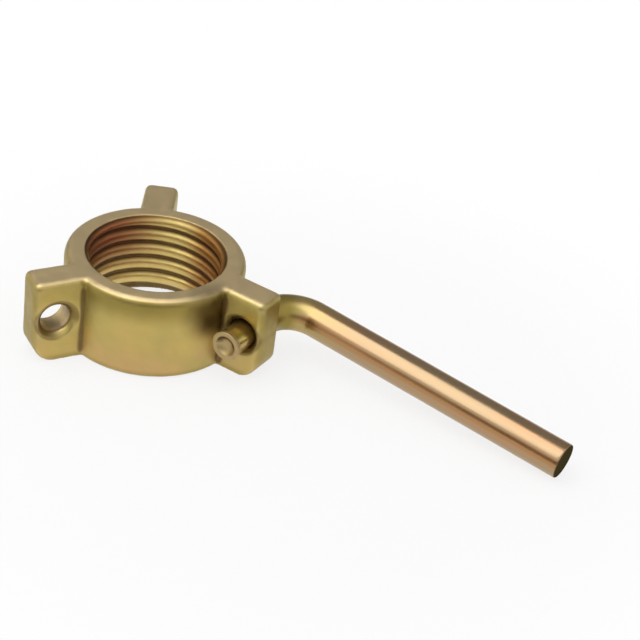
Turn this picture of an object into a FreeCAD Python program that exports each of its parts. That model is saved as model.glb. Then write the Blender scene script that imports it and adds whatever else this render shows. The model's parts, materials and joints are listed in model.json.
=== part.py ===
import FreeCAD, Part
import math
import os

# Prop nut: a cast collar with a coarse thread and three driving lugs,
# and a bent bar handle that swings in one lug's hole.
# The collar's axis is Z, its bottom face is at z = 0, and the handle's lug points along +X.

# Thread of the collar, right-handed, in mm
THREAD_CREST_DIAMETER = 57.6
THREAD_DEPTH = 2.1
THREAD_PITCH = 7.6
THREAD_FLANK_ANGLE = 28.0
THREAD_ROOT_WIDTH = 1.6
THREAD_LEAD_IN = 0.2

# Casting
COLLAR_WALL = 9.1
COLLAR_HEIGHT = 39.6
COLLAR_RIM_ROUND = 3.2
COLLAR_RIM_FLATS = 2
COLLAR_FOOT_CHAMFER = 1.2
LUG_COUNT = 3
LUG_REACH = 19.8
LUG_THICKNESS = 15.8
LUG_OFFSET = 4.2
LUG_FOOT_ROUND = 11.5
LUG_FOOT_SWEEP = 72.0
LUG_EDGE_ROUND = 3.0

# Hole through each lug, along the tangent
HOLE_FROM_COLLAR = 9.4
HOLE_HEIGHT = 20.6
HOLE_CLEARANCE = 0.4
HOLE_COUNTERSINK = 2.4

# Handle, whose turned-down pin lies loosely in the bottom of its hole
PIN_DIAMETER = 12.4
PIN_SEAT_GAP = 0.05
PIN_STUB = 11.0
PIN_SHOULDER_GAP = 0.6
BAR_DIAMETER = 16.0
BAR_SHOULDER_CHAMFER = 0.8
BAR_BEND_GAP = 2.6
BAR_BEND_RADIUS = 17.0
BAR_BEND_ANGLE = 91.0
BAR_ARM_LENGTH = 127.4
BAR_TIP_CHAMFER = 1.0
HEAD_SWELL = 0.9
HEAD_LENGTH = 4.0
HEAD_CHAMFER = 0.8
DISH_DIAMETER = 9.6
DISH_DEPTH = 2.0

# Worked out from the sizes above
CREST_RADIUS = THREAD_CREST_DIAMETER / 2
ROOT_RADIUS = CREST_RADIUS + THREAD_DEPTH
COLLAR_RADIUS = ROOT_RADIUS + COLLAR_WALL
LUG_END = COLLAR_RADIUS + LUG_REACH
LUG_SIDES = (LUG_OFFSET - LUG_THICKNESS / 2, LUG_OFFSET + LUG_THICKNESS / 2)
LUG_ANGLES = [index * 360.0 / LUG_COUNT for index in range(LUG_COUNT)]
BAR_RADIUS = BAR_DIAMETER / 2
PIN_RADIUS = PIN_DIAMETER / 2
HOLE_RADIUS = PIN_RADIUS + HOLE_CLEARANCE
HOLE_X = COLLAR_RADIUS + HOLE_FROM_COLLAR
PIVOT_HEIGHT = HOLE_HEIGHT - HOLE_CLEARANCE + PIN_SEAT_GAP
HEAD_END = LUG_SIDES[0] - PIN_STUB
SHOULDER = LUG_SIDES[1] + PIN_SHOULDER_GAP

ORIGIN = FreeCAD.Vector(0, 0, 0)
UP = FreeCAD.Vector(0, 0, 1)
ALONG_Y = FreeCAD.Vector(0, 1, 0)
TOUCH = 1e-4


def outline(*edges):
    """A flat face inside lines and arcs that follow each other."""
    return Part.Face(Part.Wire([edge.toShape() for edge in edges]))


def polygon(points):
    """A flat face inside straight lines through the points."""
    return Part.Face(Part.makePolygon(points + points[:1]))


def collar_blank():
    """The collar as a solid disc, turned from its half section, with a rim rounded in a few flats."""

    def at(radius, height):
        return FreeCAD.Vector(radius, 0, height)

    def on_rim(index):
        turn = index * math.pi / 2 / COLLAR_RIM_FLATS
        inset = COLLAR_RIM_ROUND * (1 - math.cos(turn))
        drop = COLLAR_RIM_ROUND * (1 - math.sin(turn))
        return at(COLLAR_RADIUS - inset, COLLAR_HEIGHT - drop)

    foot = [
        at(0, 0),
        at(COLLAR_RADIUS - COLLAR_FOOT_CHAMFER, 0),
        at(COLLAR_RADIUS, COLLAR_FOOT_CHAMFER),
    ]
    rim = [on_rim(index) for index in range(COLLAR_RIM_FLATS + 1)]
    return polygon(foot + rim + [at(0, COLLAR_HEIGHT)]).revolve(ORIGIN, UP, 360)


def lug_foot():
    """What the rounded foot takes from under the outer end of the lug along +X."""
    sweep = math.radians(LUG_FOOT_SWEEP)

    def on_round(angle):
        inset = LUG_FOOT_ROUND * (1 - math.cos(angle))
        height = LUG_FOOT_ROUND * (math.sin(sweep) - math.sin(angle))
        return FreeCAD.Vector(LUG_END - inset, LUG_SIDES[0], height)

    corner = FreeCAD.Vector(LUG_END, LUG_SIDES[0], 0)
    side = outline(
        Part.Arc(on_round(0), on_round(sweep / 2), on_round(sweep)),
        Part.LineSegment(on_round(sweep), corner),
        Part.LineSegment(corner, on_round(0)),
    )
    return side.extrude(ALONG_Y * LUG_THICKNESS)


def lug():
    """The lug along +X: a plate let into the collar, with rounded edges and a rounded outer foot."""
    corner = FreeCAD.Vector(ROOT_RADIUS, LUG_SIDES[0], 0)
    plate = Part.makeBox(LUG_END - ROOT_RADIUS, LUG_THICKNESS, COLLAR_HEIGHT, corner)

    def rounded(edge):
        return edge.CenterOfMass.z > TOUCH and edge.CenterOfMass.x > ROOT_RADIUS + TOUCH

    plate = plate.makeFillet(LUG_EDGE_ROUND, [edge for edge in plate.Edges if rounded(edge)])
    return plate.cut(lug_foot())


def lug_hole():
    """The hole through the lug along +X, with countersunk mouths, as a solid to cut away."""
    first, second = LUG_SIDES
    mouth = HOLE_RADIUS + HOLE_COUNTERSINK

    def at(radius, y):
        return FreeCAD.Vector(HOLE_X + radius, y, HOLE_HEIGHT)

    section = polygon([
        at(0, first),
        at(mouth, first),
        at(HOLE_RADIUS, first + HOLE_COUNTERSINK),
        at(HOLE_RADIUS, second - HOLE_COUNTERSINK),
        at(mouth, second),
        at(0, second),
    ])
    return section.revolve(at(0, 0), ALONG_Y, 360)


def on_each_lug(make):
    """What a function makes for the lug along +X, made once for every lug and turned to it."""
    pieces = []
    for angle in LUG_ANGLES:
        piece = make()
        piece.rotate(ORIGIN, UP, angle)
        pieces.append(piece)
    return pieces


def thread_groove():
    """The thread's groove: a blunt V with a flat root, run along a helix past both faces of the collar."""
    inside = THREAD_DEPTH / 4
    root = THREAD_ROOT_WIDTH / 2
    mouth = root + (THREAD_DEPTH + inside) * math.tan(math.radians(THREAD_FLANK_ANGLE))
    points = [
        FreeCAD.Vector(CREST_RADIUS - inside, 0, -mouth),
        FreeCAD.Vector(ROOT_RADIUS, 0, -root),
        FreeCAD.Vector(ROOT_RADIUS, 0, root),
        FreeCAD.Vector(CREST_RADIUS - inside, 0, mouth),
    ]
    first = Part.makeHelix(THREAD_PITCH, THREAD_PITCH, CREST_RADIUS).Edges[0]
    turns = []
    for index in range(math.ceil(COLLAR_HEIGHT / THREAD_PITCH) + 2):
        turn = first.copy()
        turn.translate(UP * index * THREAD_PITCH)
        turns.append(turn)
    groove = Part.Wire(turns).makePipeShell([Part.makePolygon(points + points[:1])], True, True)
    groove.translate(UP * -THREAD_PITCH)
    return groove


def lead_ins():
    """The cones that open the bore's two ends past the thread's root."""
    mouth = ROOT_RADIUS + THREAD_LEAD_IN
    lower = Part.makeCone(mouth, 0, mouth)
    upper = Part.makeCone(0, mouth, mouth, FreeCAD.Vector(0, 0, COLLAR_HEIGHT - mouth))
    return [lower, upper]


def nut_body():
    """The whole casting, with its thread and lug holes."""
    body = collar_blank().multiFuse(on_each_lug(lug)).removeSplitter()
    body = body.cut(Part.makeCylinder(CREST_RADIUS, COLLAR_HEIGHT)).cut(thread_groove())
    for tool in lead_ins() + on_each_lug(lug_hole):
        body = body.cut(tool)
    return body


def handle_droop():
    """The angle by which the arm hangs down, so that its tip rests on the surface under the collar."""
    past_right = math.radians(BAR_BEND_ANGLE - 90)
    straight = (BAR_ARM_LENGTH - BAR_TIP_CHAMFER) * math.cos(past_right)
    reach = BAR_BEND_RADIUS * (1 + math.sin(past_right)) + straight
    down = math.asin(PIVOT_HEIGHT / math.hypot(reach, BAR_RADIUS)) - math.atan2(BAR_RADIUS, reach)
    return math.degrees(down)


def on_pivot(y):
    """A point on the axis about which the bar swings."""
    return FreeCAD.Vector(HOLE_X, y, PIVOT_HEIGHT)


def handle_head():
    """The swollen, dished end of the pin, which keeps the bar in its hole."""
    start = on_pivot(HEAD_END + HEAD_LENGTH)
    swollen = Part.makeCone(PIN_RADIUS, PIN_RADIUS + HEAD_SWELL, HEAD_LENGTH, start, -ALONG_Y)
    rim = [edge for edge in swollen.Edges if abs(edge.CenterOfMass.y - HEAD_END) < TOUCH]
    swollen = swollen.makeChamfer(HEAD_CHAMFER, rim)
    dish = Part.makeCone(0, DISH_DIAMETER / 2, DISH_DEPTH, on_pivot(HEAD_END + DISH_DEPTH), -ALONG_Y)
    return swollen.cut(dish)


def handle_pin():
    """The turned-down pin that goes through the lug's hole, with its head."""
    start = on_pivot(HEAD_END + HEAD_LENGTH)
    end = on_pivot(SHOULDER)
    return Part.makeCylinder(PIN_RADIUS, (end - start).Length, start, ALONG_Y).fuse(handle_head())


def handle():
    """The bent bar: a pin through the hole, a shoulder behind the lug, a bend and a long arm."""
    leg_start = on_pivot(SHOULDER)
    leg_end = on_pivot(LUG_SIDES[1] + BAR_BEND_GAP)
    centre = leg_end + FreeCAD.Vector(BAR_BEND_RADIUS, 0, 0)

    def on_bend(degrees):
        return centre + FreeCAD.Rotation(UP, -degrees).multVec(FreeCAD.Vector(-BAR_BEND_RADIUS, 0, 0))

    arm_start = on_bend(BAR_BEND_ANGLE)
    arm_end = arm_start + FreeCAD.Rotation(UP, -BAR_BEND_ANGLE).multVec(ALONG_Y * BAR_ARM_LENGTH)
    path = Part.Wire([
        Part.LineSegment(leg_start, leg_end).toShape(),
        Part.Arc(leg_end, on_bend(BAR_BEND_ANGLE / 2), arm_start).toShape(),
        Part.LineSegment(arm_start, arm_end).toShape(),
    ])
    section = Part.Wire(Part.makeCircle(BAR_RADIUS, leg_start, ALONG_Y))
    bar = path.makePipeShell([section], True, False)
    for end, size in ((arm_end, BAR_TIP_CHAMFER), (leg_start, BAR_SHOULDER_CHAMFER)):
        rim = [edge for edge in bar.Edges if (edge.CenterOfMass - end).Length < TOUCH]
        bar = bar.makeChamfer(size, rim)
    bar = bar.fuse(handle_pin()).removeSplitter()
    bar.rotate(on_pivot(0), ALONG_Y, handle_droop())
    return bar


os.makedirs("parts", exist_ok=True)
nut_body().exportStep("parts/nut_body.step")
handle().exportStep("parts/handle.step")
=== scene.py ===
import json
import math

import bmesh
import bpy
from bpy.props import FloatProperty, FloatVectorProperty, IntProperty, PointerProperty
from mathutils import Matrix, Vector


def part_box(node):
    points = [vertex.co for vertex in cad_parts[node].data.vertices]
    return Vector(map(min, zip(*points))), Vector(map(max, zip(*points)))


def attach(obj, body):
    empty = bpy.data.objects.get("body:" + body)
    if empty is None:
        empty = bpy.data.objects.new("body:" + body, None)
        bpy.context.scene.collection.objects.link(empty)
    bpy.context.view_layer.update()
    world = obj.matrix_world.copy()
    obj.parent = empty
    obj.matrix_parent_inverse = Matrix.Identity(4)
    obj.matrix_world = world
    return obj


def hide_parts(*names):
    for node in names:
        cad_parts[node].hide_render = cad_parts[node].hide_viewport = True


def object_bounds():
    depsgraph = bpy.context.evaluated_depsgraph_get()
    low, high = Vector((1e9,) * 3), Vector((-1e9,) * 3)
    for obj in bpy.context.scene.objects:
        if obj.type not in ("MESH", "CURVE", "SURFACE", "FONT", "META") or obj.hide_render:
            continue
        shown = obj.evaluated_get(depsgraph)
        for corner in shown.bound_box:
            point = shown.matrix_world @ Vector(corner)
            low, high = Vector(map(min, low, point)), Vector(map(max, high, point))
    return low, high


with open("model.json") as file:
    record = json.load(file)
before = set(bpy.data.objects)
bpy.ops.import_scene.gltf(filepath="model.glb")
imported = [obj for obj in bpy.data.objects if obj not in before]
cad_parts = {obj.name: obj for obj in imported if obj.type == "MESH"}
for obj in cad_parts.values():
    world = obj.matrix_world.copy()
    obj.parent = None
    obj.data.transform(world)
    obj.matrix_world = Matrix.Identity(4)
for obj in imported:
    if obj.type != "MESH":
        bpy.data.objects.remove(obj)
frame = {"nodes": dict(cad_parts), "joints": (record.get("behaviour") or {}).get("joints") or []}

bl_info = {
    "name": "Prop nut",
    "version": (1, 0, 0),
    "blender": (4, 5, 0),
    "location": "View3D > Sidebar > Prop nut",
    "description": "Dresses a yellow-plated prop nut with its swinging bar handle, and sets its stage",
    "category": "Object",
}

CAD_BOX = [list(corner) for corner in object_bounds()]
PIVOT = Vector(frame["joints"][0]["pos_m"])
HANDLE_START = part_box("handle")[0].y
MM = 0.001
MERGE_DISTANCE = MM / 1000
SOFT_EDGE = 0.5 * MM
LUG_END_FADE = (2.4 * MM, 0.6 * MM)
SHOULDER_FADE = 3 * MM
STREAKS_PER_METRE = 9.0
BAND_FADE = (0.955, 0.992)
# Middle of the painted shade round the pin, from the pivot.
PIN_SHADE_FROM_PIVOT = Vector((-11, -15, 10)) * MM
DISH_RINGS = 10
END_RINGS = 6
CORNER_STEPS = 5
FLOOR_GAP = 0.02 * MM
SENSOR_WIDTH = 36.0
WHITE = (1.0, 1.0, 1.0)


def length(name, description, millimetres):
    """A length property, stated in millimetres and kept in metres."""
    return FloatProperty(
        name=name,
        description=description,
        default=millimetres * MM,
        unit="LENGTH",
        precision=5,
    )


def angle(name, description, degrees):
    """An angle property, stated in degrees."""
    return FloatProperty(name=name, description=description, default=math.radians(degrees), unit="ROTATION")


def share(name, description, default):
    """A property from 0 to 1."""
    return FloatProperty(name=name, description=description, default=default, min=0, max=1, subtype="FACTOR")


def colour(name, description, default):
    """A colour property, in linear light."""
    return FloatVectorProperty(
        name=name,
        description=description,
        default=default,
        size=3,
        min=0,
        max=1,
        subtype="COLOR",
    )


class PlatingSettings(bpy.types.PropertyGroup):
    """Colours of the yellow zinc plating on both pieces, and of the light, shade and reflections painted on
    them.
    """

    olive: colour("Olive", "Main colour of the plating on the casting", (0.47, 0.38, 0.12))
    gold: colour("Gold", "Where the plating is thick", (0.58, 0.42, 0.13))
    rose: colour("Rose", "Where the plating ran down and shimmers pink", (0.58, 0.375, 0.16))
    # Painted shade and painted reflection: a darker olive laid under the rim, on the lug ends, at the foot,
    # under downward faces and on the bar beside the shoulder.
    olive_shade: colour("Moss", "Darker plating under the rim, at lug ends and by the shoulder", (0.24, 0.18, 0.035))
    # Painted light: a paler tone laid on upward faces and on the lug holes' walls.
    painted_light: colour("Dull", "Upward faces and hole walls that hands and tools have dulled", (0.70, 0.54, 0.30))
    worn: colour("Worn", "Edges rubbed bright", (0.62, 0.50, 0.26))
    bar: colour("Bar", "Main colour of the plating on the bar", (0.41, 0.288, 0.165))
    copper: colour("Copper", "Streaks along the bar", (0.47, 0.265, 0.14))
    # A copper-brown band laid along one side of the arm, at a set angle round the bar.
    band: colour("Run", "Where the plating ran along the bar", (0.43, 0.215, 0.085))
    crest: colour("Crest", "Crests of the thread", (0.72, 0.55, 0.20))
    # Painted reflection: a reddish tone laid on one side of the bore.
    red_reflection: colour("Rust", "Reddish plating on one side of the bore", (0.30, 0.115, 0.048))
    # A darker brown tone laid on the other side of the bore.
    amber: colour("Amber", "Browned plating on the other side of the bore", (0.40, 0.20, 0.055))
    # Painted shade: laid in the thread's valleys, in hollows and corners, in the upper part of the lug holes'
    # mouths, on the collar round the pin and on the upper wall of the dish in the pressed end.
    shade_tone: colour("Grime", "What gathers in the thread and the corners", (0.060, 0.026, 0.008))
    shear: colour("Shear", "The sheared tip of the bar", (0.060, 0.048, 0.018))


class CastingSettings(bpy.types.PropertyGroup):
    """Sizes of the casting's skin."""

    grid: length("Grid", "Spacing of the casting's surface points", 0.72)
    soften: IntProperty(
        name="Soften",
        description="Rounds of smoothing that take the sharpness off the edges",
        default=2,
        min=0,
    )
    thread_soften: IntProperty(
        name="Thread soften",
        description="More rounds of smoothing that make the thread round",
        default=5,
        min=0,
    )
    edge_reach: IntProperty(
        name="Edge reach",
        description="Rounds of smoothing that find edges and corners",
        default=14,
        min=1,
    )
    edge_height: length(
        "Edge height",
        "Height over the smoothed surface at which an edge counts as fully worn",
        0.35,
    )
    wave_size: length("Wave size", "Distance between the swellings of the cast surface", 16)
    wave_depth: length("Wave depth", "Depth of the hollows between the swellings", 0.22)
    grain_size: length("Grain size", "Distance between the grains of the mould's sand", 2.6)
    grain_depth: length("Grain depth", "Depth between the grains", 0.07)
    seed: IntProperty(name="Seed", description="Changes the pattern of swellings and grains", default=7)
    crest_radius: length("Crest radius", "From the bore's axis to the crests of the thread", 28.8)
    thread_depth: length("Thread depth", "From the crests to the roots of the thread", 2.1)
    amber_side: angle("Amber side", "Bearing of the bore's browned side", 28)
    collar_radius: length("Collar radius", "From the bore's axis to the collar's outer wall", 40)
    rim_height: length("Rim height", "Height of the collar's rim", 39.6)
    lug_count: IntProperty(name="Lugs", description="Lugs round the collar", default=3, min=1)
    lug_end: length("Lug end", "From the bore's axis to the end of a lug", 59.8)
    hole_place: length("Hole place", "From the bore's axis to the middle of a lug's hole", 49.4)
    hole_height: length("Hole height", "Height of the middle of a lug's hole", 20.6)
    hole_radius: length("Hole radius", "Radius of a lug's hole", 6.6)
    mouth_radius: length("Mouth radius", "Radius of a lug hole's countersunk mouth", 9)
    # Painted shade and painted reflection from the pin and its lug, laid on the collar's wall, reach this
    # far.
    pin_shade_reach: length("Grease reach", "How far grease from the pin has spread over the collar's wall", 17)


class HandleSettings(bpy.types.PropertyGroup):
    """Sizes of the bent bar."""

    radius: length("Radius", "Radius of the round bar", 8)
    pin_radius: length("Pin radius", "Radius of the pin that goes through the lug", 6.2)
    pin: length("Pin", "From the pressed end to the shoulder behind the lug", 27.4)
    shoulder_round: length("Shoulder round", "Rounding of the shoulder", 0.8)
    leg: length("Leg", "From the pressed end to the start of the bend", 29.4)
    bend_radius: length("Bend radius", "Radius of the bend, to the bar's middle", 17)
    bend_angle: angle("Bend angle", "How far the arm is bent from the leg", 91)
    arm: length("Arm", "From the end of the bend to the tip", 127.4)
    head_swell: length("Head swell", "How much the pressed end stands out over the pin", 0.9)
    head_length: length("Head length", "Length over which the pressed end swells", 4)
    head_round: length("Head round", "Rounding of the pressed end's rim", 0.8)
    dish_radius: length("Dish radius", "Radius of the dish that the press left in the end", 4.8)
    dish_depth: length("Dish depth", "Depth of the dish", 2)
    tip_round: length("Tip round", "Rounding of the arm's tip", 1)
    ring_step: length("Ring step", "Distance between the rings of points along the bar", 1.1)
    gold_reach: length("Gold reach", "How far past the bend the bar stays golden", 30)
    # Angle round the bar of the copper-brown band along the arm.
    band_side: angle("Run side", "Where the plating ran along the arm, up from its side", 17)
    # Painted shade laid along the bar beside the shoulder, where it meets the lug, reaches this far.
    shoulder_shade_reach: length("Soil reach", "How far soiled plating spreads along the bar from its shoulder", 23)
    points: IntProperty(name="Points", description="Points round the bar", default=96, min=8)
    dent_size: length("Dent size", "Distance between the shallow dents in the bar", 14)
    dent_depth: length("Dent depth", "Depth of the dents", 0.10)
    seed: IntProperty(name="Seed", description="Changes the pattern of dents", default=3)


class StageSettings(bpy.types.PropertyGroup):
    """The floor, the lamps and the camera."""

    floor_half: length("Floor", "From the middle of the floor to its edge", 6000)
    floor_tone: share("Floor tone", "How pale the floor is", 0.86)
    floor_clear: share(
        "Floor clear",
        "How much of the white world shows through the floor near the object",
        0.80,
    )
    day: share("Day", "Level of the light from all round", 0.65)
    key_power: FloatProperty(
        name="Key power",
        description="Power of the soft lamp overhead",
        default=6.1,
        unit="POWER",
    )
    back_tone: share("Back tone", "How pale the card behind the object is", 0.42)
    room_tone: share("Room tone", "How pale the card behind the camera is", 0.28)
    azimuth: angle("Azimuth", "Where the camera stands round the object", 27.94)
    elevation: angle("Elevation", "How far the camera looks down", 33.68)
    roll: angle("Roll", "How far the camera is turned about its line of sight", 8.56)
    aim: length("Aim", "Height of the middle of the collar, on which the camera is set", 20.5)
    distance: length("Distance", "From the camera to the middle of the collar", 800)
    lens: FloatProperty(name="Lens", description="Focal length of the camera", default=101.5, unit="CAMERA")
    place: FloatVectorProperty(
        name="Place",
        description="Where the middle of the collar falls in the picture, from its upper left corner",
        default=(0.23930, 0.45017),
        size=2,
    )


SETTINGS = {
    "propnut_plating": PlatingSettings,
    "propnut_casting": CastingSettings,
    "propnut_handle": HandleSettings,
    "propnut_stage": StageSettings,
}


def add_node(tree, kind, inputs=None, **settings):
    """A new node with its settings, and its inputs set or linked, by name or place."""
    made = tree.nodes.new(kind)
    for name, value in settings.items():
        setattr(made, name, value)
    for key, value in (inputs or {}).items():
        if isinstance(value, bpy.types.NodeSocket):
            tree.links.new(value, made.inputs[key])
        else:
            made.inputs[key].default_value = value
    return made


def sum_of(tree, operation, *values):
    """The outcome of one Math node."""
    return add_node(tree, "ShaderNodeMath", dict(enumerate(values)), operation=operation).outputs[0]


def vector_of(tree, operation, *values):
    """The outcome of one Vector Math node."""
    made = add_node(tree, "ShaderNodeVectorMath", operation=operation)
    for place, value in enumerate(values):
        socket = made.inputs["Scale"] if operation == "SCALE" and place == 1 else made.inputs[place]
        if isinstance(value, bpy.types.NodeSocket):
            tree.links.new(value, socket)
        else:
            socket.default_value = value
    return made.outputs["Value" if operation in ("DOT_PRODUCT", "DISTANCE", "LENGTH") else "Vector"]


def mixed(tree, share_socket, first, second):
    """Two colours mixed by a share."""
    made = add_node(tree, "ShaderNodeMix", data_type="RGBA")
    for name, value in (("Factor_Float", share_socket), ("A_Color", first), ("B_Color", second)):
        socket = next(item for item in made.inputs if item.identifier == name)
        if isinstance(value, bpy.types.NodeSocket):
            tree.links.new(value, socket)
        else:
            socket.default_value = value
    return next(item for item in made.outputs if item.identifier == "Result_Color")


def between(tree, value, low, high):
    """A value's place from low to high, smoothed and kept from 0 to 1."""
    made = add_node(
        tree,
        "ShaderNodeMapRange",
        {"Value": value, "From Min": low, "From Max": high},
        interpolation_type="SMOOTHSTEP",
    )
    return made.outputs["Result"]


def spread_over(tree, mask, first, last):
    """A mask from 0 to 1, spread over the values from first to last."""
    made = add_node(tree, "ShaderNodeMapRange", {"Value": mask, "To Min": first, "To Max": last})
    return made.outputs["Result"]


def both(tree, first, *others):
    """Where several masks hold at once: their product."""
    product = first
    for mask in others:
        product = sum_of(tree, "MULTIPLY", product, mask)
    return product


def full(value):
    """A colour with its alpha."""
    return (*value, 1.0)


def tinted(tree, hue, tint, mask, strength=1.0):
    """A colour with a tint mixed in where a mask says, at a given strength."""
    if strength < 1.0:
        mask = sum_of(tree, "MULTIPLY", mask, strength)
    return mixed(tree, mask, hue, full(tint))


def new_tree(name, inputs):
    """An empty Geometry Nodes tree that takes and gives geometry, with named inputs."""
    tree = bpy.data.node_groups.new(name, "GeometryNodeTree")
    tree.interface.new_socket("Geometry", in_out="INPUT", socket_type="NodeSocketGeometry")
    for title, kind in inputs.items():
        tree.interface.new_socket(title, in_out="INPUT", socket_type="NodeSocket" + kind)
    tree.interface.new_socket("Geometry", in_out="OUTPUT", socket_type="NodeSocketGeometry")
    return tree, tree.nodes.new("NodeGroupInput").outputs


def end_tree(tree, geometry, finish):
    """Ends a tree: smooth shading, plain geometry and the finish."""
    smooth = add_node(tree, "GeometryNodeSetShadeSmooth", {"Geometry": geometry})
    plain = add_node(tree, "GeometryNodeRealizeInstances", {"Geometry": smooth.outputs[0]})
    dressed = add_node(tree, "GeometryNodeSetMaterial", {"Geometry": plain.outputs[0], "Material": finish})
    add_node(tree, "NodeGroupOutput", {"Geometry": dressed.outputs[0]})


def stored(tree, geometry, name, value):
    """Geometry with a named number kept at every point."""
    made = add_node(
        tree,
        "GeometryNodeStoreNamedAttribute",
        {"Geometry": geometry, "Name": name, "Value": value},
        data_type="FLOAT",
        domain="POINT",
    )
    return made.outputs[0]


def pressed_in(tree, geometry, size, depth, seed):
    """Geometry pushed inwards by a smooth random pattern of a given size and depth."""
    here = add_node(tree, "GeometryNodeInputPosition").outputs[0]
    where = vector_of(tree, "SCALE", here, sum_of(tree, "DIVIDE", 1.0, size))
    noise = add_node(
        tree,
        "ShaderNodeTexNoise",
        {"Vector": where, "W": seed, "Scale": 1.0, "Detail": 1.0},
        noise_dimensions="4D",
    )
    inwards = sum_of(tree, "MULTIPLY", sum_of(tree, "MULTIPLY", noise.outputs[0], depth), -1.0)
    push = vector_of(tree, "SCALE", add_node(tree, "GeometryNodeInputNormal").outputs[0], inwards)
    return add_node(tree, "GeometryNodeSetPosition", {"Geometry": geometry, "Offset": push}).outputs[0]


def blurred_position(tree, rounds):
    """Each point's position, smoothed over its neighbours."""
    here = add_node(tree, "GeometryNodeInputPosition").outputs[0]
    blur = add_node(tree, "GeometryNodeBlurAttribute", {"Iterations": rounds}, data_type="FLOAT_VECTOR")
    socket = next(item for item in blur.inputs if item.type == "VECTOR")
    tree.links.new(here, socket)
    return next(item for item in blur.outputs if item.type == "VECTOR"), here


def cast_skin():
    """The tree that turns a sharp casting into one with soft edges and a sand-cast skin."""
    tree, given = new_tree(
        "cast_skin",
        {
            "Soften": "Int",
            "Thread soften": "Int",
            "Bore radius": "Float",
            "Edge reach": "Int",
            "Edge height": "Float",
            "Wave size": "Float",
            "Wave depth": "Float",
            "Grain size": "Float",
            "Grain depth": "Float",
            "Seed": "Int",
            "Finish": "Material",
        },
    )
    soft, _ = blurred_position(tree, given["Soften"])
    skin = add_node(
        tree,
        "GeometryNodeSetPosition",
        {"Geometry": given["Geometry"], "Position": soft},
    ).outputs[0]
    round_thread, here = blurred_position(tree, given["Thread soften"])
    from_axis = vector_of(tree, "LENGTH", vector_of(tree, "MULTIPLY", here, (1.0, 1.0, 0.0)))
    in_bore = sum_of(tree, "LESS_THAN", from_axis, given["Bore radius"])
    skin = add_node(
        tree,
        "GeometryNodeSetPosition",
        {"Geometry": skin, "Selection": in_bore, "Position": round_thread},
    ).outputs[0]
    smooth, here = blurred_position(tree, given["Edge reach"])
    facing = add_node(tree, "GeometryNodeInputNormal").outputs[0]
    proud = vector_of(tree, "DOT_PRODUCT", vector_of(tree, "SUBTRACT", here, smooth), facing)
    skin = stored(tree, skin, "edge", sum_of(tree, "DIVIDE", proud, given["Edge height"]))
    upward = add_node(tree, "ShaderNodeSeparateXYZ", {"Vector": facing}).outputs["Z"]
    skin = stored(tree, skin, "upward", upward)
    skin = pressed_in(tree, skin, given["Wave size"], given["Wave depth"], given["Seed"])
    skin = pressed_in(tree, skin, given["Grain size"], given["Grain depth"], given["Seed"])
    end_tree(tree, skin, given["Finish"])
    return tree


def bent_bar():
    """The tree that dents a straight bar along +Y, bends it towards +X and lets its arm hang down."""
    tree, given = new_tree(
        "bent_bar",
        {
            "Leg": "Float",
            "Bend radius": "Float",
            "Bend angle": "Float",
            "Start": "Vector",
            "Droop": "Float",
            "Dent size": "Float",
            "Dent depth": "Float",
            "Seed": "Int",
            "Finish": "Material",
        },
    )
    here = add_node(tree, "GeometryNodeInputPosition").outputs[0]
    straight = add_node(tree, "ShaderNodeSeparateXYZ", {"Vector": here}).outputs
    bar = stored(tree, given["Geometry"], "along", straight["Y"])
    bar = stored(tree, bar, "around", sum_of(tree, "ARCTAN2", straight["Z"], straight["X"]))
    off_axis = vector_of(tree, "LENGTH", vector_of(tree, "MULTIPLY", here, (1.0, 0.0, 1.0)))
    bar = stored(tree, bar, "off_axis", off_axis)
    bar = pressed_in(tree, bar, given["Dent size"], given["Dent depth"], given["Seed"])
    bend_length = sum_of(tree, "MULTIPLY", given["Bend radius"], given["Bend angle"])
    past = sum_of(tree, "MAXIMUM", sum_of(tree, "SUBTRACT", straight["Y"], given["Leg"]), 0.0)
    turn = sum_of(tree, "DIVIDE", sum_of(tree, "MINIMUM", past, bend_length), given["Bend radius"])
    beyond = sum_of(tree, "MAXIMUM", sum_of(tree, "SUBTRACT", past, bend_length), 0.0)
    inner = sum_of(tree, "SUBTRACT", given["Bend radius"], straight["X"])
    sine = sum_of(tree, "SINE", turn)
    cosine = sum_of(tree, "COSINE", turn)
    across = sum_of(tree, "SUBTRACT", given["Bend radius"], sum_of(tree, "MULTIPLY", inner, cosine))
    across = sum_of(tree, "ADD", across, sum_of(tree, "MULTIPLY", beyond, sine))
    ahead = sum_of(tree, "MINIMUM", straight["Y"], given["Leg"])
    ahead = sum_of(tree, "ADD", ahead, sum_of(tree, "MULTIPLY", inner, sine))
    ahead = sum_of(tree, "ADD", ahead, sum_of(tree, "MULTIPLY", beyond, cosine))
    bent = add_node(tree, "ShaderNodeCombineXYZ", {"X": across, "Y": ahead, "Z": straight["Z"]}).outputs[0]
    hanging = add_node(
        tree,
        "ShaderNodeVectorRotate",
        {"Vector": bent, "Axis": (0.0, 1.0, 0.0), "Angle": given["Droop"]},
        rotation_type="AXIS_ANGLE",
    )
    placed = vector_of(tree, "ADD", hanging.outputs[0], given["Start"])
    bar = add_node(tree, "GeometryNodeSetPosition", {"Geometry": bar, "Position": placed}).outputs[0]
    end_tree(tree, bar, given["Finish"])
    return tree


def run_tree(piece, tree, values):
    """Runs a tree on a piece and leaves the piece with the outcome as its plain mesh."""
    modifier = piece.modifiers.new(tree.name, "NODES")
    modifier.node_group = tree
    for item in tree.interface.items_tree:
        if item.in_out == "INPUT" and item.name in values:
            modifier[item.identifier] = values[item.name]
    bpy.context.view_layer.update()
    shown = piece.evaluated_get(bpy.context.evaluated_depsgraph_get())
    made = bpy.data.meshes.new_from_object(shown)
    made.name = piece.name
    piece.modifiers.clear()
    piece.data = made
    if not made.polygons:
        raise RuntimeError(f"{piece.name} has no faces")


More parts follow.
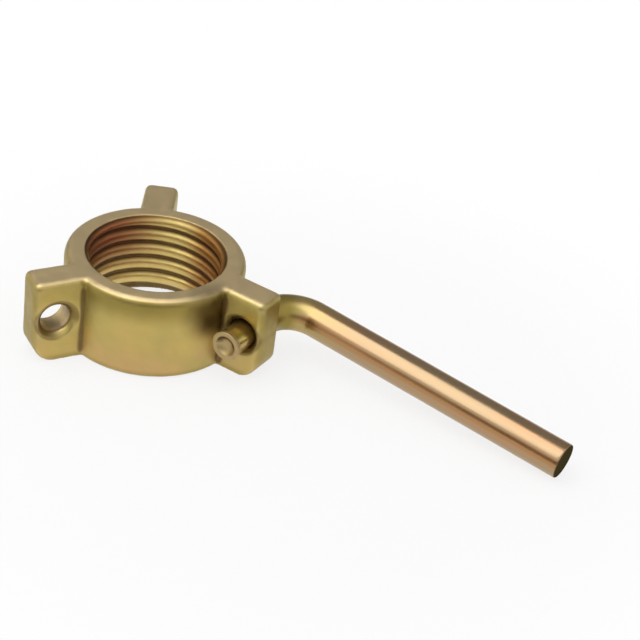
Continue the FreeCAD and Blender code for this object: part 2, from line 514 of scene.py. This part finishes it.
def new_piece(name, mesh):
    """A new object at the origin that shows a mesh."""
    piece = bpy.data.objects.new(name, mesh)
    bpy.context.scene.collection.objects.link(piece)
    return piece


def merged_copy(node):
    """A copy of a CAD node's mesh with its loose triangles joined."""
    mesh = frame["nodes"][node].data.copy()
    work = bmesh.new()
    work.from_mesh(mesh)
    bmesh.ops.remove_doubles(work, verts=work.verts, dist=MERGE_DISTANCE)
    work.to_mesh(mesh)
    work.free()
    mesh.materials.clear()
    return mesh


def new_finish(name):
    """A new material with its node tree and its Principled shader."""
    material = bpy.data.materials.new(name)
    material.use_nodes = True
    return material, material.node_tree, material.node_tree.nodes["Principled BSDF"]


def spots(tree, where, scale, low, high, seed=0.0):
    """A soft pattern of spots from 0 to 1."""
    noise = add_node(
        tree,
        "ShaderNodeTexNoise",
        {"Vector": where, "W": seed, "Scale": scale, "Detail": 3.0, "Roughness": 0.55},
        noise_dimensions="4D",
    )
    return between(tree, noise.outputs[0], low, high)


def attribute(tree, name):
    """A number kept at the piece's points."""
    return add_node(tree, "ShaderNodeAttribute", attribute_name=name).outputs["Fac"]


def lug_places(tree, bearing, from_axis, height, casting):
    """Where a lug's hole, the part of its mouth that gets painted shade, and its end are, each from 0 to 1,
    on every lug.
    """
    half_turn = math.pi / casting.lug_count
    from_lug = sum_of(tree, "WRAP", bearing, half_turn, -half_turn)
    out = sum_of(tree, "MULTIPLY", from_axis, sum_of(tree, "COSINE", from_lug))
    aside = sum_of(tree, "SUBTRACT", out, casting.hole_place)
    above = sum_of(tree, "SUBTRACT", height, casting.hole_height)
    from_hole = add_node(tree, "ShaderNodeCombineXYZ", {"X": aside, "Y": above}).outputs[0]
    away = vector_of(tree, "LENGTH", from_hole)
    reach = casting.mouth_radius
    hole = between(tree, away, casting.hole_radius + SOFT_EDGE, casting.hole_radius)
    mouth = between(tree, away, reach + 3 * SOFT_EDGE, reach + SOFT_EDGE)
    below = between(tree, above, 0.0, -0.5 * reach)
    inner = between(tree, aside, 0.2 * reach, -0.4 * reach)
    # The lower inner part of the mouth, where the light falls on the countersink, is kept out of the painted
    # shade; it is not wear.
    rubbed = both(tree, below, inner)
    shade_darkened = both(tree, mouth, sum_of(tree, "SUBTRACT", 1.0, rubbed))
    start, stop = LUG_END_FADE
    end = between(tree, out, casting.lug_end - start, casting.lug_end - stop)
    return hole, shade_darkened, end


def thread_hue(tree, where, from_axis, plating, casting):
    """The thread's plating tone, with a painted reddish reflection on one side and a darker brown tone on the
    other, and where the bore is.
    """
    across, _, height = add_node(tree, "ShaderNodeSeparateXYZ", {"Vector": where}).outputs
    rim = casting.rim_height
    root = casting.crest_radius + casting.thread_depth
    inside = between(tree, from_axis, root + SOFT_EDGE, root)
    one_side = between(tree, across, -0.35 * root, -0.95 * root)
    reddish = both(tree, one_side, between(tree, height, 0.2 * rim, 0.75 * rim))
    amber_side = Vector((math.cos(casting.amber_side), math.sin(casting.amber_side), 0.0))
    towards_amber = vector_of(tree, "DOT_PRODUCT", where, amber_side)
    darker = between(tree, towards_amber, 0.2 * root, 0.65 * root)
    hue = tinted(tree, full(plating.crest), plating.amber, darker)
    # Painted reflection: reddish on one side of the bore, over the middle of its height.
    hue = tinted(tree, hue, plating.red_reflection, reddish)
    return hue, inside


def plated_casting(plating, casting):
    """Satin yellow zinc on cast iron: olive, gold and rose, rubbed edges, paler tops and hole walls as
    painted light, and painted shade and reflection under the rim, at the foot, in hollows, corners and thread
    valleys, and round the lugs and pin.
    """
    material, tree, shader = new_finish("yellow_zinc_casting")
    where = add_node(tree, "ShaderNodeTexCoord").outputs["Object"]
    across, ahead, height = add_node(tree, "ShaderNodeSeparateXYZ", {"Vector": where}).outputs
    from_axis = vector_of(tree, "LENGTH", vector_of(tree, "MULTIPLY", where, (1.0, 1.0, 0.0)))
    bearing = sum_of(tree, "ARCTAN2", ahead, across)
    upward = attribute(tree, "upward")
    edge = attribute(tree, "edge")
    rim = casting.rim_height
    wall = casting.collar_radius
    on_wall = between(tree, from_axis, wall + 4 * SOFT_EDGE, wall + SOFT_EDGE)
    off_lugs = spread_over(tree, on_wall, 0.45, 1.0)
    thick = spots(tree, where, scale=34.0, low=0.36, high=0.68)
    hue = tinted(tree, full(plating.olive), plating.gold, thick)
    low = both(tree, off_lugs, between(tree, height, 0.75 * rim, 0.2 * rim))
    ran_down = both(tree, low, spots(tree, where, scale=30.0, low=0.34, high=0.66, seed=4.0))
    hue = tinted(tree, hue, plating.rose, ran_down)
    # Painted reflection of a dark room: a dark olive band on the collar's wall under the rim, weaker on the
    # lugs.
    under_rim = both(tree, off_lugs, between(tree, height, 0.62 * rim, 0.9 * rim))
    hue = tinted(tree, hue, plating.olive_shade, under_rim, strength=0.75)
    # Painted light: upward faces made paler.
    hue = tinted(tree, hue, plating.painted_light, between(tree, upward, 0.6, 0.96), strength=0.9)
    hole, mouth, end = lug_places(tree, bearing, from_axis, height, casting)
    # Painted shade: darker olive at the lug ends.
    hue = tinted(tree, hue, plating.olive_shade, end, strength=0.6)
    # Painted shade in the upper part of each lug hole's countersunk mouth.
    hue = tinted(tree, hue, plating.shade_tone, mouth, strength=0.58)
    # Painted light: the lug holes' walls made paler.
    hue = tinted(tree, hue, plating.painted_light, hole, strength=0.85)
    # Painted shade and painted reflection on the collar's wall round the pin, where the pin and its lug shade
    # it.
    spread = vector_of(tree, "DISTANCE", where, PIVOT + PIN_SHADE_FROM_PIVOT)
    shade = casting.pin_shade_reach
    pin_shade = both(tree, on_wall, between(tree, spread, shade, 0.3 * shade))
    hue = tinted(tree, hue, plating.shade_tone, pin_shade, strength=0.62)
    # Painted shade at the foot of the casting and under faces that point down.
    foot = between(tree, height, 0.10 * rim, 0.02 * rim)
    under = sum_of(tree, "MAXIMUM", foot, between(tree, upward, -0.1, -0.6))
    hue = tinted(tree, hue, plating.olive_shade, under, strength=0.6)
    scuffs = spots(tree, where, scale=160.0, low=0.25, high=0.6, seed=2.0)
    rubbed = both(tree, between(tree, edge, 0.4, 1.2), scuffs)
    hue = tinted(tree, hue, plating.worn, rubbed, strength=0.3)
    # Painted shade in hollows and in the corners between the lugs and the collar.
    corner_shade = between(tree, sum_of(tree, "MULTIPLY", edge, -1.0), 0.12, 0.9)
    hue = tinted(tree, hue, plating.shade_tone, corner_shade, strength=0.75)
    thread, inside = thread_hue(tree, where, from_axis, plating, casting)
    hue = mixed(tree, inside, hue, thread)
    # Painted shade in the thread's valleys.
    crest, depth = casting.crest_radius, casting.thread_depth
    valley = between(tree, from_axis, crest + 0.25 * depth, crest + 0.85 * depth)
    hue = tinted(tree, hue, plating.shade_tone, both(tree, inside, valley), strength=0.85)
    tree.links.new(hue, shader.inputs["Base Color"])
    matt = spots(tree, where, scale=220.0, low=0.2, high=0.8, seed=9.0)
    tree.links.new(spread_over(tree, matt, 0.34, 0.50), shader.inputs["Roughness"])
    grain = add_node(tree, "ShaderNodeTexNoise", {"Vector": where, "Scale": 900.0, "Detail": 4.0}).outputs[0]
    bump = add_node(tree, "ShaderNodeBump", {"Height": grain, "Strength": 0.16, "Distance": 0.15 * MM})
    tree.links.new(bump.outputs[0], shader.inputs["Normal"])
    shader.inputs["Metallic"].default_value = 0.92
    return material


def plated_bar(plating, bar):
    """Bright yellow zinc on drawn bar: golden at the bend, copper along the arm, with painted shade beside
    the shoulder and in the dish.
    """
    material, tree, shader = new_finish("yellow_zinc_bar")
    where = add_node(tree, "ShaderNodeTexCoord").outputs["Object"]
    along = attribute(tree, "along")
    around = attribute(tree, "around")
    off_axis = attribute(tree, "off_axis")
    over_axis = sum_of(tree, "SINE", around)
    drawn = add_node(
        tree,
        "ShaderNodeCombineXYZ",
        {
            "X": sum_of(tree, "COSINE", around),
            "Y": sum_of(tree, "MULTIPLY", along, STREAKS_PER_METRE),
            "Z": over_axis,
        },
    ).outputs[0]
    bend = bar.leg + bar.bend_radius * bar.bend_angle
    tip = bend + bar.arm
    golden = spots(tree, where, scale=40.0, low=0.40, high=0.66, seed=3.0)
    hue = tinted(tree, full(plating.olive), plating.gold, golden)
    hue = tinted(tree, hue, plating.bar, between(tree, along, bar.pin, bend + bar.gold_reach))
    streaked = spots(tree, drawn, scale=1.9, low=0.45, high=0.70, seed=6.0)
    hue = tinted(tree, hue, plating.copper, streaked, strength=0.7)
    # A copper-brown band along the arm, at a set angle round the bar.
    band_side = Vector((math.cos(bar.band_side), 0.0, math.sin(bar.band_side)))
    in_band = between(tree, vector_of(tree, "DOT_PRODUCT", drawn, band_side), *BAND_FADE)
    band = both(tree, in_band, between(tree, along, bar.leg, bend))
    hue = tinted(tree, hue, plating.band, band, strength=0.8)
    # Painted shade along the bar beside the shoulder, where it meets the lug.
    past_pin = between(tree, along, bar.pin - SHOULDER_FADE, bar.pin)
    near_pin = between(tree, along, bar.pin + bar.shoulder_shade_reach, bar.pin + 0.55 * bar.shoulder_shade_reach)
    shade_darkened = both(tree, past_pin, near_pin)
    hue = tinted(tree, hue, plating.olive_shade, shade_darkened, strength=0.75)
    in_dish = between(tree, along, 1.5 * bar.dish_depth, 1.2 * bar.dish_depth)
    hue = tinted(tree, hue, plating.bar, in_dish, strength=0.6)
    # Painted shade on the upper wall of the dish in the pressed end.
    off_middle = between(tree, off_axis, 0.3 * bar.dish_radius, 0.8 * bar.dish_radius)
    off_lip = between(tree, off_axis, 1.02 * bar.dish_radius, 0.92 * bar.dish_radius)
    shaded = both(tree, in_dish, off_middle, off_lip, between(tree, over_axis, -0.3, 0.4))
    hue = tinted(tree, hue, plating.shade_tone, shaded, strength=0.85)
    sheared = between(tree, along, tip - 0.7 * bar.tip_round, tip - 0.1 * bar.tip_round)
    hue = tinted(tree, hue, plating.shear, sheared)
    tree.links.new(hue, shader.inputs["Base Color"])
    tree.links.new(spread_over(tree, sheared, 0.94, 0.0), shader.inputs["Metallic"])
    matt = spots(tree, drawn, scale=5.0, low=0.2, high=0.8, seed=8.0)
    before_arm = between(tree, along, bend + 0.6 * bar.bend_radius, bend - 0.4 * bar.bend_radius)
    bent = both(tree, past_pin, before_arm)
    rough = spread_over(tree, matt, 0.17, 0.27)
    for mask, least in ((in_dish, 0.45), (shade_darkened, 0.40), (bent, 0.33)):
        rough = sum_of(tree, "MAXIMUM", rough, sum_of(tree, "MULTIPLY", mask, least))
    tree.links.new(rough, shader.inputs["Roughness"])
    grain = add_node(tree, "ShaderNodeTexNoise", {"Vector": drawn, "Scale": 22.0, "Detail": 2.0}).outputs[0]
    drawn_part = sum_of(tree, "MULTIPLY", between(tree, along, bar.pin, bend), 0.05)
    bump = add_node(tree, "ShaderNodeBump", {"Height": grain, "Strength": drawn_part, "Distance": 0.12 * MM})
    tree.links.new(bump.outputs[0], shader.inputs["Normal"])
    shader.inputs["Specular IOR Level"].default_value = 0.0
    return material


def rounded_corner(corner, before, after):
    """Points of a soft corner between a point before it and a point after it."""
    points = []
    for index in range(CORNER_STEPS + 1):
        t = index / CORNER_STEPS
        points.append(tuple(
            (1 - t) ** 2 * b + 2 * t * (1 - t) * c + t ** 2 * a
            for b, c, a in zip(before, corner, after)
        ))
    return points


def even_rings(first, last, radius, step):
    """Rings of one radius, about one step apart, as pairs of place and radius."""
    count = round((last - first) / step)
    return [(first + (last - first) * index / count, radius) for index in range(count + 1)]


def bar_profile(bar):
    """The straight bar's half section from its dished end to its tip, as pairs of place and radius."""
    total = bar.leg + bar.bend_radius * bar.bend_angle + bar.arm
    step = bar.ring_step
    soft = bar.shoulder_round
    flat = bar.radius - bar.tip_round
    head = bar.pin_radius + bar.head_swell
    face = head - bar.head_round
    dish = []
    for ring in range(1, DISH_RINGS):
        part = ring / DISH_RINGS
        dish.append((bar.dish_depth * (1 - part ** 3), bar.dish_radius * part))
    lip = rounded_corner((0, bar.dish_radius), dish[-1], (0, bar.dish_radius + 0.15 * face))
    rim = rounded_corner((0, head), (0, face), (bar.head_round, head - 0.3 * bar.head_swell))
    neck = rounded_corner((bar.head_length, bar.pin_radius), rim[-1], (1.6 * bar.head_length, bar.pin_radius))
    pin = even_rings(neck[-1][0] + step, bar.pin, bar.pin_radius, step)
    shoulder = rounded_corner(
        (bar.pin, bar.radius),
        (bar.pin, bar.radius - soft),
        (bar.pin + soft, bar.radius),
    )
    shank = even_rings(bar.pin + soft + step, total - bar.tip_round - step, bar.radius, step)
    tip = rounded_corner((total, bar.radius), (total - bar.tip_round, bar.radius), (total, flat))
    end = [(total, flat * (1 - ring / END_RINGS)) for ring in range(1, END_RINGS)]
    return dish[:-1] + lip + rim + neck[1:] + pin + shoulder + shank + tip + end, (bar.dish_depth, total)


def straight_bar(bar):
    """The bar before it is bent, turned about +Y."""
    profile, poles = bar_profile(bar)
    work = bmesh.new()
    rings = []
    for place, radius in profile:
        ring = []
        for index in range(bar.points):
            turn = 2 * math.pi * index / bar.points
            ring.append(work.verts.new((radius * math.cos(turn), place, radius * math.sin(turn))))
        rings.append(ring)
    ends = [work.verts.new((0, place, 0)) for place in poles]
    for index in range(bar.points):
        after = (index + 1) % bar.points
        for one, two in zip(rings, rings[1:]):
            work.faces.new((one[index], two[index], two[after], one[after]))
        work.faces.new((ends[0], rings[0][index], rings[0][after]))
        work.faces.new((ends[1], rings[-1][after], rings[-1][index]))
    bmesh.ops.recalc_face_normals(work, faces=work.faces)
    mesh = bpy.data.meshes.new("straight_bar")
    work.to_mesh(mesh)
    work.free()
    return mesh


def arm_droop(bar):
    """The angle by which the arm hangs down, so that its tip rests on the floor."""
    past_right = bar.bend_angle - math.pi / 2
    reach = bar.bend_radius * (1 + math.sin(past_right)) + (bar.arm - bar.tip_round) * math.cos(past_right)
    return math.asin(PIVOT.z / math.hypot(reach, bar.radius)) - math.atan2(bar.radius, reach)


class PROPNUT_OT_casting(bpy.types.Operator):
    """Makes the casting: the threaded collar with its three lugs"""

    bl_idname = "propnut.casting"
    bl_label = "Casting"

    def execute(self, context):
        casting = context.scene.propnut_casting
        piece = new_piece("casting", merged_copy("nut_body"))
        remesh = piece.modifiers.new("even_points", "REMESH")
        remesh.mode = "VOXEL"
        remesh.voxel_size = casting.grid
        run_tree(piece, cast_skin(), {
            "Soften": casting.soften,
            "Thread soften": casting.thread_soften,
            "Bore radius": casting.crest_radius + casting.thread_depth,
            "Edge reach": casting.edge_reach,
            "Edge height": casting.edge_height,
            "Wave size": casting.wave_size,
            "Wave depth": casting.wave_depth,
            "Grain size": casting.grain_size,
            "Grain depth": casting.grain_depth,
            "Seed": casting.seed,
            "Finish": plated_casting(context.scene.propnut_plating, casting),
        })
        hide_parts("nut_body")
        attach(piece, "nut")
        return {"FINISHED"}


class PROPNUT_OT_handle(bpy.types.Operator):
    """Makes the handle: a bent round bar with a pressed end"""

    bl_idname = "propnut.handle"
    bl_label = "Handle"

    def execute(self, context):
        bar = context.scene.propnut_handle
        piece = new_piece("bar_handle", straight_bar(bar))
        run_tree(piece, bent_bar(), {
            "Leg": bar.leg,
            "Bend radius": bar.bend_radius,
            "Bend angle": bar.bend_angle,
            "Start": Vector((PIVOT.x, HANDLE_START, PIVOT.z)),
            "Droop": arm_droop(bar),
            "Dent size": bar.dent_size,
            "Dent depth": bar.dent_depth,
            "Seed": bar.seed,
            "Finish": plated_bar(context.scene.propnut_plating, bar),
        })
        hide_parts("handle")
        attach(piece, "handle")
        return {"FINISHED"}


def seen_ray(tree):
    """1 for what the camera sees, also in a mirror or through glass, and 0 for light that is scattered."""
    path = add_node(tree, "ShaderNodeLightPath").outputs
    seen = sum_of(tree, "MAXIMUM", path["Is Camera Ray"], path["Is Glossy Ray"])
    return sum_of(tree, "MAXIMUM", seen, path["Is Transmission Ray"])


def rectangle(name, wide, tall, height=0.0):
    """A flat rectangle about the origin, at a height."""
    mesh = bpy.data.meshes.new(name)
    corners = [(x * wide / 2, y * tall / 2, height) for x, y in ((-1, -1), (1, -1), (1, 1), (-1, 1))]
    mesh.from_pydata(corners, [], [(0, 1, 2, 3)])
    return mesh


def pale_floor(stage):
    """A large pale floor just under the collar, clear to the eye but for the object's shadow."""
    mesh = rectangle("floor", 2 * stage.floor_half, 2 * stage.floor_half, -FLOOR_GAP)
    material, tree, shader = new_finish("pale_floor")
    shader.inputs["Base Color"].default_value = full([stage.floor_tone] * 3)
    shader.inputs["Roughness"].default_value = 0.9
    where = add_node(tree, "ShaderNodeTexCoord").outputs["Object"]
    lowest, highest = (Vector(corner) for corner in CAD_BOX)
    away = vector_of(tree, "DISTANCE", where, (lowest + highest) / 2)
    reach = (highest - lowest).length / 2
    share_clear = spread_over(tree, between(tree, away, 0.8 * reach, 1.8 * reach), stage.floor_clear, 1.0)
    clear = add_node(tree, "ShaderNodeBsdfTransparent").outputs[0]
    plain = add_node(
        tree,
        "ShaderNodeMixShader",
        {0: both(tree, share_clear, seen_ray(tree)), 1: shader.outputs[0], 2: clear},
    )
    tree.links.new(plain.outputs[0], tree.nodes["Material Output"].inputs["Surface"])
    mesh.materials.append(material)
    floor = new_piece("floor", mesh)


def white_world(stage):
    """Soft light from all round, and white wherever the camera or a glossy face sees past the floor."""
    world = bpy.data.worlds.new("studio")
    world.use_nodes = True
    tree = world.node_tree
    background = tree.nodes["Background"]
    tree.links.new(spread_over(tree, seen_ray(tree), stage.day, 1.0), background.inputs["Strength"])
    background.inputs["Color"].default_value = full(WHITE)
    bpy.context.scene.world = world


def direction(azimuth, elevation):
    """The direction from the object to a place round it: azimuth 0 is in front, at -Y."""
    flat = math.cos(elevation)
    return Vector((math.sin(azimuth) * flat, -math.cos(azimuth) * flat, math.sin(elevation)))


def softbox(name, azimuth, elevation, distance, size, power):
    """A large soft lamp that looks at the collar."""
    lamp = bpy.data.lights.new(name, "AREA")
    lamp.shape = "RECTANGLE"
    lamp.size, lamp.size_y = size
    lamp.energy = power
    box = bpy.data.objects.new(name, lamp)
    towards = direction(math.radians(azimuth), math.radians(elevation))
    box.location = towards * distance
    box.rotation_euler = towards.to_track_quat("Z", "Y").to_euler()
    bpy.context.scene.collection.objects.link(box)


def flag(name, azimuth, elevation, distance, size, tone):
    """A dark card round the object that only glossy faces mirror, for contrast in the metal."""
    mesh = rectangle(name, *size)
    towards = direction(math.radians(azimuth), math.radians(elevation))
    turned = towards.to_track_quat("Z", "Y").to_matrix().to_4x4()
    mesh.transform(Matrix.Translation(towards * distance) @ turned)
    material, _, shader = new_finish(name)
    shader.inputs["Base Color"].default_value = full([tone] * 3)
    shader.inputs["Roughness"].default_value = 1.0
    mesh.materials.append(material)
    card = new_piece(name, mesh)
    card.visible_camera = card.visible_diffuse = card.visible_shadow = card.visible_transmission = False


def photo_camera(stage):
    """The camera at the photograph's angle, with the collar at its place in the picture."""
    lens = bpy.data.cameras.new("camera")
    lens.lens = stage.lens
    lens.sensor_width = SENSOR_WIDTH
    back = direction(stage.azimuth, stage.elevation)
    level = Vector((math.cos(stage.azimuth), math.sin(stage.azimuth), 0))
    upright = back.cross(level)
    right = level * math.cos(stage.roll) + upright * math.sin(stage.roll)
    up = upright * math.cos(stage.roll) - level * math.sin(stage.roll)
    width = SENSOR_WIDTH / stage.lens
    aside = (stage.place[0] - 0.5) * width
    above = (0.5 - stage.place[1]) * width
    collar = Vector((0, 0, stage.aim))
    eye = collar + (back - right * aside - up * above) * stage.distance
    camera = bpy.data.objects.new("camera", lens)
    camera.matrix_world = Matrix.Translation(eye) @ Matrix((right, up, back)).transposed().to_4x4()
    bpy.context.scene.collection.objects.link(camera)
    bpy.context.scene.camera = camera


class PROPNUT_OT_stage(bpy.types.Operator):
    """Sets the floor, the light and the camera"""

    bl_idname = "propnut.stage"
    bl_label = "Stage"

    def execute(self, context):
        stage = context.scene.propnut_stage
        context.scene.view_settings.view_transform = "Standard"
        pale_floor(stage)
        white_world(stage)
        softbox("key", azimuth=-32, elevation=68, distance=1.1, size=(1.0, 1.25), power=stage.key_power)
        front = math.degrees(stage.azimuth)
        behind = front + 180
        flag("back_flag", behind, elevation=36, distance=1.2, size=(3.2, 1.8), tone=stage.back_tone)
        flag("room_flag", front, elevation=9, distance=1.4, size=(2.8, 0.62), tone=stage.room_tone)
        photo_camera(stage)
        return {"FINISHED"}


class PROPNUT_PT_panel(bpy.types.Panel):
    """Lists the pieces of the prop nut and their sizes and colours"""

    bl_label = "Prop nut"
    bl_idname = "PROPNUT_PT_panel"
    bl_space_type = "VIEW_3D"
    bl_region_type = "UI"
    bl_category = "Prop nut"

    def draw(self, context):
        for operator in OPERATORS:
            self.layout.operator(operator.bl_idname)
        for name, kind in SETTINGS.items():
            column = self.layout.column(align=True)
            column.label(text=kind.__doc__)
            for prop in kind.__annotations__:
                column.prop(getattr(context.scene, name), prop)


OPERATORS = (PROPNUT_OT_casting, PROPNUT_OT_handle, PROPNUT_OT_stage)
CLASSES = (*SETTINGS.values(), *OPERATORS, PROPNUT_PT_panel)


def register():
    for kind in CLASSES:
        bpy.utils.register_class(kind)
    for name, kind in SETTINGS.items():
        setattr(bpy.types.Scene, name, PointerProperty(type=kind))


def unregister():
    for name in SETTINGS:
        delattr(bpy.types.Scene, name)
    for kind in reversed(CLASSES):
        bpy.utils.unregister_class(kind)


def main():
    register()
    bpy.ops.propnut.casting()
    bpy.ops.propnut.handle()
    bpy.ops.propnut.stage()


if __name__ == "__main__":
    main()
